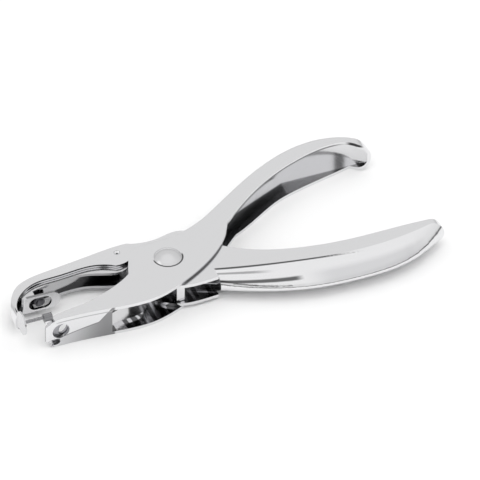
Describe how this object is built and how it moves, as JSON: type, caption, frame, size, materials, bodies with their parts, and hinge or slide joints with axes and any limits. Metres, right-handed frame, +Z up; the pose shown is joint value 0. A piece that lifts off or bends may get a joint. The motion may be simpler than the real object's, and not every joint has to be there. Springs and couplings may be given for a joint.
{
  "type": "single hole punch pliers",
  "caption": "Hand-held hole punch pliers in plated folded steel, with a sprung pusher lever, stripper, round punch, die and a small edge gauge on the jaw.",
  "frame": {"origin": "on the plane the tool lies on, directly under the main pivot", "axes": "+X from the nose to the handle ends, +Y from the pusher handle towards the frame handle, +Z up along the pivot rivet to its domed head"},
  "size_m": [0.1307, 0.057, 0.0143],
  "materials": {
    "plated_steel": "bright nickel plate, satin on the flat cheeks",
    "rivet_steel": "plated, lightly brushed",
    "tool_steel": "hardened and ground",
    "spring_steel": "drawn wire"
  },
  "bodies": {
    "frame": {"frame_lever": "plated_steel", "die_block": "tool_steel", "jaw_stiffener": "plated_steel", "pivot_rivet": "rivet_steel", "pivot_bush": "rivet_steel", "return_spring": "spring_steel", "gauge_collar": "rivet_steel"},
    "pusher": {"pusher_lever": "plated_steel", "hinge_pin": "rivet_steel", "punch": "tool_steel"},
    "stripper_arm": {"stripper": "plated_steel"},
    "gauge": {"gauge_stem": "rivet_steel", "gauge_disc": "plated_steel"}
  },
  "joints": [
    {"name": "handle_squeeze", "type": "hinge", "parent": "frame", "child": "pusher", "pos_m": [0, 0, 0.005], "axis": [0, 0, 1], "range_deg": [0, 18.4], "stiffness_Nm_per_rad": 0.2, "springref_deg": -22.92, "deforming": ["return_spring"]},
    {"name": "stripper_swing", "type": "hinge", "parent": "pusher", "child": "stripper_arm", "pos_m": [-0.0126, 0.0082, 0.005], "axis": [0, 0, -1], "range_deg": [0, 2]},
    {"name": "gauge_slide", "type": "slide", "parent": "frame", "child": "gauge", "axis": [1, 0, 0], "range_m": [-0.0012, 0]}
  ],
  "couplings": [
    {"joint": "stripper_swing", "follows": "handle_squeeze", "ratio": 0.10868}
  ]
}
